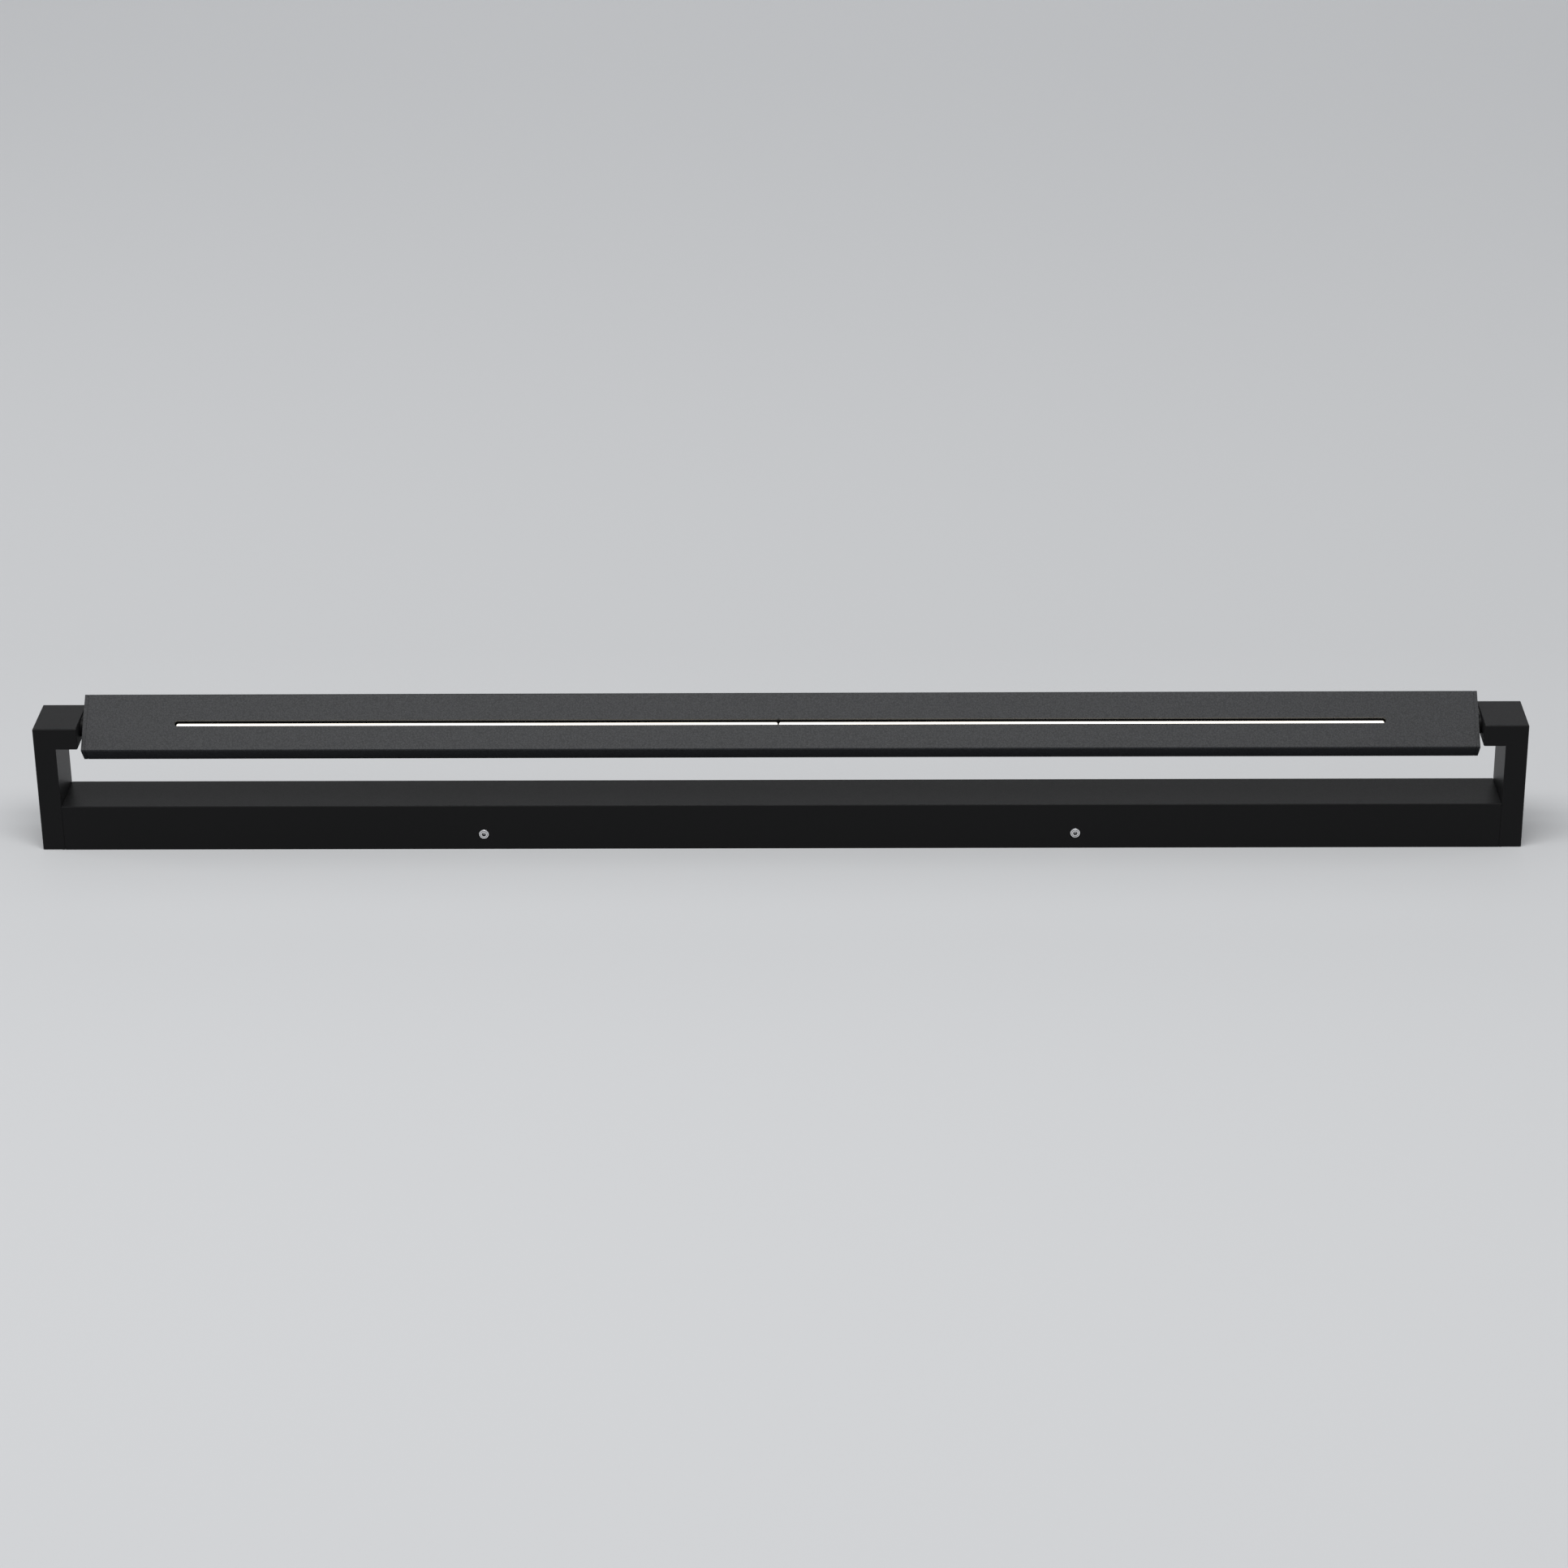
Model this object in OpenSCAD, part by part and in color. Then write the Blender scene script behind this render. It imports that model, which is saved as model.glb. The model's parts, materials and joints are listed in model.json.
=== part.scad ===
// Wall-mounted LED vanity light bar. A slim head tilts between two arms, which stand on
// a channel-shaped base that holds the driver and the supply connections.
//
// Millimetres. The bar lies along X, and Z points straight out of the wall. The face with
// the two locking screws looks towards -Y. The origin is the centre of the wall face.
// Tapped holes are drawn at the thread's outer diameter.

/* [Overall] */
// Length over the two arms
overall_len = 914; // [900:1:1500]
// Depth of the base and the arms, across the wall
depth = 38; // [37:0.1:60]
// Projection of the arms from the wall
arm_h = 81.7; // [76:0.1:140]
// Tilt of the head's lit face, from straight out towards the screw side
head_tilt = 42.5; // [-90:0.5:90]

/* [Base channel] */
// Height of the base channel
base_h = 29.4; // [28:0.1:34]
// Thickness of the channel's side walls
base_wall = 2.5; // [2.3:0.1:3.2]
// Thickness of the channel's outer wall
base_top = 2.5; // [1.5:0.1:4]
// Rounding of the channel's two outer edges
base_edge_r = 0.6; // [0.2:0.1:1.2]
// Distance of the rear cover grooves from the wall face
groove_z = 2; // [1:0.1:2.4]
// Depth of the rear cover grooves
groove_d = 1.2; // [0.8:0.1:1.5]

/* [Wall bracket] */
// Length of the bracket
bracket_len = 420; // [400:1:460]
// Thickness of the bracket's sheet
bracket_t = 1.5; // [1:0.1:2]
// Height of the bracket's flanges
bracket_h = 15; // [13.5:0.1:18]
// Distance between the two locking screws
lock_pitch = 365.2; // [340:0.1:385]
// Height of the locking screws above the wall
lock_z = 9.9; // [7:0.1:10.5]
// Distance between the centres of the wiring box slots
box_slot_pitch = 86; // [80:1:92]
// Length of each wiring box slot
box_slot_len = 12; // [8:0.5:16]
// Width of each wiring box slot
box_slot_w = 4.6; // [4:0.1:5.5]
// Distance between the wall anchor holes
anchor_pitch = 300; // [260:1:310]
// Diameter of the wall anchor holes
anchor_d = 5; // [4:0.1:6]
// Diameter of the way through the supply bushing
entry_d = 16; // [12:0.5:18]

/* [Arms] */
// Thickness of each arm along the bar
arm_t = 13.6; // [11:0.1:18]
// Thickness of the block at the top of each arm
block_t = 13.5; // [13:0.1:16]
// Reach of the block from the arm's outer face
block_reach = 27.1; // [25:0.1:40]
// Rounding of the arm's outer edges
arm_edge_r = 0.8; // [0.2:0.1:1.2]
// Thickness of the arm's inner wall
arm_web = 4; // [3:0.1:5]
// Thickness of the arm's outer cover
arm_cover_t = 1.5; // [1.5:0.1:2]

/* [Head] */
// Width of the head's lit face
head_w = 38; // [36.5:0.1:60]
// Thickness of the head
head_t = 13.5; // [13.2:0.1:18]
// Rounding of the head's long edges
head_edge_r = 0.8; // [0.2:0.1:1.5]
// Thickness of the head's walls
head_wall = 1.8; // [1.4:0.1:1.8]
// Thickness of the head's end caps
cap_t = 2.2; // [2:0.1:4]
// Gap between the head and each block
pivot_gap = 1.7; // [1.2:0.1:3]
// Length of the light slot
slot_len = 743.4; // [300:0.1:755]
// Width of the light slot
slot_w = 3.9; // [3:0.1:5]
// Offset of the slot from the middle of the face
slot_offset = -0.6; // [-2:0.1:2]
// Depth of the slot's walls
slot_depth = 5; // [4.6:0.1:5]
// Distance of the lens behind the face
lens_recess = 3.8; // [3:0.1:4]
// Width of the lens where it shows in the slot
lens_w = 2.4; // [1.6:0.1:2.8]

/* [Tilt pivot] */
// Diameter of the hollow pivot shaft
shaft_d = 6; // [5:0.1:6.3]
// Diameter of the hole through the shaft
shaft_hole_d = 3.4; // [3.2:0.1:3.8]
// Outer diameter of the bushing's sleeve
bushing_d = 8; // [7.8:0.1:8.6]
// Length of the bushing's sleeve
bushing_len = 6.7; // [5:0.1:8]
// Outer diameter of the washers and the nut
nut_d = 10; // [9:0.1:10.2]

/* [Light source] */
// Distance between neighbouring LEDs
led_pitch = 8; // [5:0.5:20]
// Width of the LED boards
board_w = 8; // [6:0.1:9]

/* [Driver] */
// Length of the driver's case
driver_len = 150; // [120:1:165]
// Width of the driver's case
driver_w = 28; // [26:0.1:28.5]
// Height of the driver's case without its lid
driver_h = 15; // [14:0.1:15.5]

/* [Fits] */
// Radial clearance of the shaft in its bushing
run_clear = 0.05; // [0.02:0.01:0.09]
// Radial clearance of a screw's thread in its tapped hole
thread_clear = 0.03; // [0.01:0.01:0.05]
// Clearance of pieces that are pushed or slid together
slide_clear = 0.1; // [0.05:0.05:0.2]
// Clearance of covers and plugs around their edge
cover_clear = 0.15; // [0.1:0.05:0.3]
// Width of the fine shadow line where two outer pieces meet
seam_w = 0.3; // [0.1:0.05:0.5]
// Depth of that line
seam_d = 0.3; // [0.1:0.05:0.4]

/* [Hidden] */

$fn = 64;
// Overlap of a cut past the surface that it opens
cut = 1;

// Colours
black_satin = "#1c1c1d";
black_sand = "#2b2c2e";
black_nylon = "#101011";
silver = "#c9cacc";
zinc = "#a9adb0";
white_plastic = "#e8e8e4";
warm_light = "#fff3dc";

// Base channel
base_len = overall_len - 2 * arm_t;
inner_y = depth / 2 - base_wall;
inner_z = base_h - base_top;
groove_h = 1.2;
port_r = 2;
port_wall = 1.6;
port_y = 10;
port_z = inner_z - port_r - port_wall + 1;
port_low = port_z - port_r - port_wall;
lock_d = 3.5;
lock_head_d = 6.7;
lock_head_h = 1.6;
lock_ring = 0.25;
lock_len = 7;
lock_seat = min(lock_head_h, base_wall - 0.6);

// Wall bracket
bracket_y = inner_y - 0.3;
bend_r = 0.5;
entry_wall = 3;
entry_flange = 2;
entry_flange_h = 1.5;

// Rear covers
rear_t = groove_h - 2 * slide_clear;
rear_z = groove_z + slide_clear;
rear_top = rear_z + rear_t;
rear_start = bracket_len / 2 + 2;
rear_end = base_len / 2 - cover_clear;

// Arms, drawn for the +X side
arm_out = overall_len / 2;
arm_in = arm_out - arm_t;
block_in = arm_out - block_reach;
web_out = arm_in + arm_web;
pivot_z = arm_h - block_t / 2;
recess_rim = 2.6;
recess_top = 1.5;
recess_low = 4.3;
recess_w = depth - 2 * recess_rim;
recess_h = arm_h - recess_top - recess_low;
pocket_ledge = 1.7;
pocket_w = recess_w - 2 * pocket_ledge;
pocket_low = recess_low + pocket_ledge;
pocket_high = arm_h - recess_top - 1;
pocket_r = 3;
cover_in = arm_out - arm_cover_t;
cover_screw_z = [recess_low + recess_h * 0.42, recess_low + recess_h * 0.76];
cover_screw_d = 2.5;
cover_screw_head = 4.7;
cover_screw_len = 7;
boss_r = 2.8;
spigot_len = 6;
spigot_wall = 2.5;
spigot_low = rear_top + 1;
spigot_high = port_low - slide_clear;
cable_z = 12;
cable_d = 2.6;
grommet_hole_r = 4;
grommet_lip = 1.2;
fixing_d = 4;
fixing_head_d = 7;
fixing_head_h = 2.4;
fixing_len = 16;

// Head, drawn flat with its lit face up and its middle at the origin
head_len = 2 * (block_in - pivot_gap);
profile_len = head_len - 2 * cap_t;
face_n = head_t / 2;
head_in_w = head_w - 2 * head_wall;
head_in_t = head_t - 2 * head_wall;
lens_flange_w = 9;
lens_flange_t = 1.6;
track_w = lens_flange_w + 2 * slide_clear;
track_t = lens_flange_t + slide_clear;
track_hook = 0.7;
track_mouth = track_w - 1.4;
track_wall = 1.4;
track_n = face_n - slot_depth;
chamber_side = 1.2;
chamber_floor = 0.8;
chamber_w = slot_w + 2 * chamber_side;
chamber_n = track_n + chamber_floor;
chip_h = 0.8;
chip_gap = 0.2;
board_t = 1;
tape_t = 0.3;
board_n = track_n - track_t - track_hook - chip_gap - chip_h;
pedestal_n = board_n - board_t - tape_t;
pedestal_lip = 0.8;
pedestal_w = board_w + 2 * slide_clear + 2 * pedestal_lip;
cap_screw_d = 3;
cap_screw_head = 5.6;
cap_screw_len = 14;
head_port_r = cap_screw_d / 2;
head_port_y = head_in_w / 2 - 3;
head_port_h = 5;
lens_end = (slot_len - slot_w + lens_w) / 2;
lens_gap = 0.5;
flange_past = 4;
board_end = lens_end + flange_past;
rib_len = 2 * (board_end + 1.5);
joiner_len = 4.4;
board_gap = 1;

// Tilt pivot
shaft_r = shaft_d / 2;
shaft_flange_r = head_in_t / 2 - 0.25;
shaft_flange_t = 1.5;
shaft_flat = 0.5;
washer_r = min(nut_d / 2 + 1, block_t / 2 - 0.5);
washer_t = (pivot_gap - 0.1) / 2;
bushing_in = block_in + bushing_len;
counter_r = nut_d / 2 + 0.4;
thrust_t = 0.6;
thrust_x = bushing_in + 0.1;
spring_t = 0.4;
spring_rise = 0.25;
spring_x = thrust_x + thrust_t;
spring_pair = 2 * (spring_t + spring_rise);
nut_x = spring_x + spring_pair;
nut_t = 2.4;
shaft_end = nut_x + nut_t + 0.4;
cable_joint_x = shaft_end + 1.2;

// Driver, on the rear cover at the -X end
driver_wall = 1.5;
driver_lid_t = 1.5;
driver_x = -(rear_start + 38 + driver_len / 2);
driver_base = rear_top;
driver_foot = 10;
driver_foot_t = 2;
driver_screw_d = 3;
driver_stand = 2;
driver_board_t = 1.6;
driver_board_z = driver_base + driver_wall + driver_stand + driver_board_t;
driver_in = driver_x + driver_len / 2 - driver_wall;
driver_out = driver_x - driver_len / 2 + driver_wall;
driver_rim = driver_base + driver_h;
connector_len = 8;
connector_h = 7;
supply_y = 4;
wire_d = 2.2;

// Supply terminals, on the bracket
terminal_x = -112;
terminal_len = 24;
terminal_pitch = 8;
terminal_w = 3 * terminal_pitch + 1;
terminal_h = 13;
terminal_hole_r = 2;
terminal_z = bracket_t + 6;
terminal_screw_x = 6;
terminal_screw_d = 3;
ground_x = -160;
ground_y = 8;
ground_d = 4;

// Routes of the leads, each a list of points from end to end. On a long stretch a lead
// keeps the direction of a bend for lead_pull at most.
lead_pull = 12;
terminal_face = terminal_x - terminal_len / 2;
line_route = [
    [driver_in - 5, -supply_y, cable_z], [driver_in + 4, -supply_y, cable_z],
    [driver_in + 24, -5, 11.5], [-186, -8, 9], [terminal_face - 16, -8, terminal_z + 0.2],
    [terminal_face - 4, -8, terminal_z], [terminal_face + 8, -8, terminal_z]
];
neutral_route = [
    [driver_in - 5, supply_y, cable_z], [driver_in + 4, supply_y, cable_z],
    [driver_in + 24, 3, 11.5], [-186, 0.5, 9], [terminal_face - 16, 0, terminal_z + 0.2],
    [terminal_face - 4, 0, terminal_z], [terminal_face + 8, 0, terminal_z]
];
ground_route = [
    [ground_x + 7, ground_y, bracket_t + 2], [ground_x + 10.6, ground_y, bracket_t + 2],
    [ground_x + 14, ground_y, bracket_t + 2.6], [ground_x + 22, ground_y, terminal_z - 1.2],
    [terminal_face - 4, ground_y, terminal_z],
    [terminal_face + 8, ground_y, terminal_z]
];
// Drawn for +X and mirrored, as the arm is
leg_x = web_out + 4.1;
leg_y = -7.5;
driver_cable_route = [
    [-driver_out - 5, 0, cable_z], [-driver_out + 6, 0, cable_z],
    [arm_in - 20, 0, cable_z], [arm_in - 4, 0, cable_z], [web_out - 0.2, 0, cable_z],
    [leg_x - 1.6, -0.8, cable_z + 1.7], [leg_x, -3, cable_z + 6.5],
    [leg_x, -6, cable_z + 14], [leg_x, leg_y, cable_z + 22],
    [leg_x, leg_y, pivot_z - 22], [leg_x, -6, pivot_z - 12],
    [leg_x, -2.6, pivot_z - 6], [leg_x - 1.7, -0.6, pivot_z - 1.7],
    [leg_x - 5.2, 0, pivot_z], [cable_joint_x + 0.8, 0, pivot_z],
    [cable_joint_x, 0, pivot_z]
];
// In the head's own frame, drawn for +X and mirrored; it comes down to the end of the board
head_cable_n = board_n + 0.05;
head_cable_route = [
    [cable_joint_x, 0, 0], [cable_joint_x - 2, 0, 0],
    [profile_len / 2 - 1.2, 0, 0], [profile_len / 2 - 5, 1.5, 0],
    [profile_len / 2 - 11, 6, 0], [profile_len / 2 - 20, 8.2, 0],
    [board_end + 22, 8.2, 0], [board_end + 15, 7, head_cable_n * 0.2],
    [board_end + 9, 3.2, head_cable_n * 0.6], [board_end + 4.5, 0.6, head_cable_n * 0.95],
    [board_end + 0.3, slot_offset, head_cable_n]
];

// Shape helpers --------------------------------------------------------------------

// Draws the children on the +X side, or mirrored on the -X side
module on_side(side) {
    if (side < 0) mirror([1, 0, 0]) children();
    else children();
}

// Carries the head from its own frame to its tilted place on the pivot axis
module in_head() {
    translate([0, 0, pivot_z]) rotate([head_tilt, 0, 0]) children();
}

// Extrudes an outline drawn in Y and Z along X, centred
module along_x(length) {
    rotate([90, 0, 90]) linear_extrude(length, center = true) children();
}

// The same between two places on X
module from_x_to_x(x0, x1) {
    translate([(x0 + x1) / 2, 0, 0]) along_x(x1 - x0) children();
}

// Extrudes an outline drawn in X and Z along Y, centred
module along_y(length) {
    rotate([90, 0, 0]) linear_extrude(length, center = true) children();
}

// A round bar on the X axis
module bar_x(x0, x1, r) {
    translate([x0, 0, 0]) rotate([0, 90, 0]) cylinder(r = r, h = x1 - x0);
}

// A washer or sleeve on the X axis
module ring_x(x0, x1, r_out, r_in) {
    difference() {
        bar_x(x0, x1, r_out);
        bar_x(x0 - cut, x1 + cut, r_in);
    }
}

// A rectangle with round corners, centred
module round_rect(w, h, r) {
    square([w - 2 * r, h], center = true);
    square([w, h - 2 * r], center = true);
    for (sx = [-1, 1], sy = [-1, 1]) {
        translate([sx * (w / 2 - r), sy * (h / 2 - r)]) circle(r = r);
    }
}

// A slot with round ends along the first axis, centred
module stadium(length, width) {
    square([length - width, width], center = true);
    for (s = [-1, 1]) translate([s * (length - width) / 2, 0]) circle(d = width);
}

// A shallow groove round a bar of rounded section, for the shadow line at its end
module seam_groove(x, w, h, r) {
    translate([x, 0, 0]) along_x(seam_w) difference() {
        square([w + 2 * cut, h + 2 * cut], center = true);
        round_rect(w - 2 * seam_d, h - 2 * seam_d, r);
    }
}

// Screws point down, with the top of the head at the origin
module cross_recess(head_d) {
    for (a = [0, 90]) {
        rotate([0, 0, a]) cube([head_d * 0.5, head_d * 0.13, head_d * 0.4], center = true);
    }
}

module flat_screw(d, head_d, length) {
    head_h = (head_d - d) / 2;
    color(silver) difference() {
        union() {
            translate([0, 0, -head_h]) cylinder(d1 = d, d2 = head_d, h = head_h);
            translate([0, 0, -length]) cylinder(d = d, h = length - head_h);
        }
        cross_recess(head_d);
    }
}

// The hole that a countersunk screw passes through
module flat_hole(d, head_d, length) {
    head_h = (head_d - d) / 2;
    gap = 2 * slide_clear;
    translate([0, 0, -head_h]) cylinder(d1 = d + gap, d2 = head_d + gap, h = head_h);
    cylinder(d = head_d + gap, h = cut);
    translate([0, 0, -length]) cylinder(d = d + gap, h = length);
}

module pan_screw(d, head_d, head_h, length) {
    color(silver) difference() {
        union() {
            translate([0, 0, -head_h]) cylinder(d = head_d, h = head_h * 0.55);
            translate([0, 0, -head_h * 0.45]) {
                cylinder(d1 = head_d, d2 = head_d * 0.72, h = head_h * 0.45);
            }
            translate([0, 0, -head_h - length]) cylinder(d = d, h = length);
        }
        cross_recess(head_d);
    }
}

// Leads: a tube swept along a smooth curve through a route's points
function unit(v) = v / norm(v);

// Direction of the route at one of its points, halfway between the stretches beside it
function heading(p, i) = i == 0 ? unit(p[1] - p[0])
    : i == len(p) - 1 ? unit(p[i] - p[i - 1])
    : unit(unit(p[i + 1] - p[i]) + unit(p[i] - p[i - 1]));

// A point between a and b, which the curve leaves along u and reaches along v
function blend(a, b, u, v, t) = let (pull = min(norm(b - a), lead_pull))
    a * (1 - 3 * t * t + 2 * t * t * t) + b * (3 * t * t - 2 * t * t * t)
    + pull * (u * (t - 2 * t * t + t * t * t) + v * (t * t * t - t * t));

function curve(p, steps) = concat(
    [for (i = [0 : len(p) - 2], k = [0 : steps - 1])
        blend(p[i], p[i + 1], heading(p, i), heading(p, i + 1), k / steps)],
    [p[len(p) - 1]]);

module lead(route, d, steps = 3, sides = 10, side_axis = [0, 0.8, 0.6]) {
    p = curve(route, steps);
    last = len(p) - 1;
    points = [for (i = [0 : last])
        let (along = unit(p[min(i + 1, last)] - p[max(i - 1, 0)]),
            across = unit(cross(along, side_axis)), up = cross(across, along))
        for (j = [0 : sides - 1])
            p[i] + d / 2 * (cos(360 * j / sides) * across + sin(360 * j / sides) * up)];
    walls = [for (i = [0 : last - 1], j = [0 : sides - 1])
        let (a = i * sides + j, b = i * sides + (j + 1) % sides)
        for (side = [[a, b, b + sides], [a, b + sides, a + sides]]) side];
    start = [for (j = [sides - 1 : -1 : 0]) j];
    finish = [for (j = [0 : sides - 1]) last * sides + j];
    polyhedron(points, concat([start], walls, [finish]));
}

// Base ------------------------------------------------------------------------------

module housing_section() {
    difference() {
        union() {
            translate([0, base_h / 2]) round_rect(depth, base_h, base_edge_r);
            translate([-depth / 2, 0]) square([depth, base_h / 2]);
        }
        translate([-inner_y, -cut]) square([2 * inner_y, inner_z + cut]);
        translate([-inner_y - groove_d, groove_z]) {
            square([2 * (inner_y + groove_d), groove_h]);
        }
    }
    // Ports that the arm screws cut their threads in
    for (s = [-1, 1]) translate([s * port_y, port_z]) {
        difference() {
            circle(r = port_r + port_wall);
            circle(r = port_r);
        }
    }
}

module base_housing() {
    color(black_satin) difference() {
        along_x(base_len) housing_section();
        for (s = [-1, 1]) translate([0, 0, base_h / 2]) {
            seam_groove(s * (base_len - seam_w) / 2, depth, base_h, base_edge_r);
        }
        for (s = [-1, 1]) translate([s * lock_pitch / 2, -depth / 2, lock_z]) {
            rotate([90, 0, 0]) {
                translate([0, 0, -lock_seat]) {
                    cylinder(d = lock_head_d + 2 * lock_ring, h = lock_seat + cut);
                }
                translate([0, 0, -base_wall - cut]) cylinder(d = lock_d + 0.4, h = base_wall + cut);
            }
        }
    }
}

module locking_screws() {
    for (s = [-1, 1]) translate([s * lock_pitch / 2, -depth / 2, lock_z]) {
        rotate([90, 0, 0]) color(silver) difference() {
            union() {
                translate([0, 0, -lock_seat]) cylinder(d = lock_head_d, h = lock_seat - 0.45);
                translate([0, 0, -0.45]) cylinder(d1 = lock_head_d, d2 = lock_head_d - 1, h = 0.4);
                translate([0, 0, -lock_seat - lock_len]) {
                    cylinder(r = lock_d / 2 - thread_clear, h = lock_len);
                }
            }
            // Ring groove and hexagon socket
            translate([0, 0, -0.3]) difference() {
                cylinder(d = 4.6, h = 1);
                translate([0, 0, -cut]) cylinder(d = 3.9, h = 3);
            }
            translate([0, 0, -1.4]) cylinder(d = 2.5 / cos(30), h = 2, $fn = 6);
        }
    }
}

module bracket_section() {
    outer_r = bracket_t + bend_r;
    difference() {
        union() {
            translate([-bracket_y, outer_r]) square([2 * bracket_y, bracket_h - outer_r]);
            translate([-bracket_y + outer_r, 0]) square([2 * (bracket_y - outer_r), bracket_h]);
            for (s = [-1, 1]) translate([s * (bracket_y - outer_r), outer_r]) circle(r = outer_r);
        }
        translate([0, bracket_h / 2 + bracket_t]) {
            round_rect(2 * (bracket_y - bracket_t), bracket_h, bend_r);
        }
        translate([-bracket_y + bracket_t, bracket_h - bend_r - cut]) {
            square([2 * (bracket_y - bracket_t), bend_r + 2 * cut]);
        }
    }
}

module wall_bracket() {
    color(zinc) difference() {
        along_x(bracket_len) bracket_section();
        translate([0, 0, -cut]) {
            cylinder(d = entry_d + 2 * entry_wall, h = bracket_t + 2 * cut);
            for (s = [-1, 1]) {
                translate([s * box_slot_pitch / 2, 0, 0]) {
                    linear_extrude(bracket_t + 2 * cut) stadium(box_slot_len, box_slot_w);
                }
                translate([s * anchor_pitch / 2, 0, 0]) cylinder(d = anchor_d, h = bracket_t + 2 * cut);
                translate([terminal_x, s * terminal_pitch / 2, 0]) cylinder(d = 3, h = bracket_t + 2 * cut);
            }
            translate([ground_x, ground_y, 0]) cylinder(d = ground_d, h = bracket_t + 2 * cut);
        }
        for (s = [-1, 1]) translate([s * lock_pitch / 2, -bracket_y + bracket_t + cut, lock_z]) {
            rotate([90, 0, 0]) cylinder(d = lock_d, h = bracket_t + 2 * cut);
        }
    }
}

module supply_bushing() {
    body_r = entry_d / 2 + entry_wall - slide_clear;
    flange_r = entry_d / 2 + entry_wall + entry_flange;
    color(black_nylon) rotate_extrude() difference() {
        union() {
            translate([0, 0.2]) square([body_r, bracket_t + entry_flange_h - 0.2]);
            translate([0, bracket_t]) square([flange_r - 0.5, entry_flange_h]);
            translate([0, bracket_t]) square([flange_r, entry_flange_h - 0.5]);
            translate([flange_r - 0.5, bracket_t + entry_flange_h - 0.5]) circle(r = 0.5);
        }
        translate([0, -cut]) square([entry_d / 2, bracket_t + entry_flange_h + 2 * cut]);
    }
}

module ground_terminal() {
    ring_t = 0.8;
    color("#d8c27a") translate([ground_x, ground_y, bracket_t]) {
        difference() {
            union() {
                cylinder(r = 4, h = ring_t);
                translate([0, -1.6, 0]) cube([7, 3.2, ring_t]);
            }
            translate([0, 0, -cut]) cylinder(d = ground_d + 0.2, h = ring_t + 2 * cut);
        }
    }
    // Crimped barrel
    color("#d8c27a") translate([ground_x + 5, ground_y, bracket_t + 2]) {
        difference() {
            union() {
                bar_x(0, 5, 1.7);
                translate([0, -1.2, -2]) cube([2, 2.4, 1.6]);
            }
            bar_x(1.5, 6, wire_d / 2 + slide_clear);
        }
    }
}

module ground_screw() {
    head_h = 2;
    translate([ground_x, ground_y, bracket_t + 0.8 + head_h]) color("#3f8f4a") difference() {
        union() {
            translate([0, 0, -head_h]) cylinder(d = 6.4, h = head_h);
            translate([0, 0, -head_h - 2.2]) cylinder(r = ground_d / 2 - thread_clear, h = 2.2);
        }
        cube([8, 0.9, 1.6], center = true);
    }
}

module terminal_block() {
    bottom = bracket_t;
    color("#2f3236") difference() {
        union() {
            translate([terminal_x - terminal_len / 2, -terminal_w / 2, bottom]) {
                cube([terminal_len, terminal_w, terminal_h * 0.7]);
            }
            // One raised housing over each pole
            for (k = [-1 : 1]) {
                translate([terminal_x - terminal_len / 2 + 2, k * terminal_pitch - 3.2, bottom]) {
                    cube([terminal_len - 4, 6.4, terminal_h]);
                }
            }
        }
        for (k = [-1 : 1]) translate([terminal_x, k * terminal_pitch, 0]) {
            for (s = [-1, 1]) {
                translate([s * (terminal_len / 2 - 4), 0, terminal_z]) {
                    bar_x(-5.5, 5.5, terminal_hole_r);
                }
                translate([s * terminal_screw_x, 0, bottom + terminal_h - 4]) {
                    cylinder(d = terminal_screw_d + 1, h = 4 + cut);
                }
            }
        }
        for (s = [-1, 1]) translate([terminal_x, s * terminal_pitch / 2, bottom]) {
            translate([0, 0, -cut]) cylinder(d = 3.2, h = terminal_h + 2 * cut);
            translate([0, 0, 4]) cylinder(d = 6, h = terminal_h);
        }
    }
}

module terminal_screws() {
    top = bracket_t + terminal_h - 0.8;
    for (k = [-1 : 1], s = [-1, 1]) {
        translate([terminal_x + s * terminal_screw_x, k * terminal_pitch, top]) {
            color(silver) difference() {
                translate([0, 0, -3]) cylinder(d = terminal_screw_d + 0.8, h = 3);
                cube([5, 0.7, 1.6], center = true);
            }
        }
    }
}

module terminal_mount_screws() {
    for (s = [-1, 1]) translate([terminal_x, s * terminal_pitch / 2, bracket_t + 6]) {
        pan_screw(3 - 2 * thread_clear, 5.4, 2, 5.2);
    }
}

module ground_wire() { color("#2f8a45") lead(ground_route, wire_d); }
module line_wire() { color("#161616") lead(line_route, wire_d); }
module neutral_wire() { color("#efefec") lead(neutral_route, wire_d); }

module rear_cover(side) {
    half_w = inner_y + groove_d - slide_clear;
    color(black_satin) on_side(side) difference() {
        translate([rear_start, -half_w, rear_z]) cube([rear_end - rear_start, 2 * half_w, rear_t]);
        if (side < 0) {
            for (s = [-1, 1]) translate([-driver_x + s * (driver_len + driver_foot) / 2, 0, 0]) {
                cylinder(d = driver_screw_d, h = rear_top + cut);
            }
        }
    }
}

// Driver ------------------------------------------------------------------------------

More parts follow.
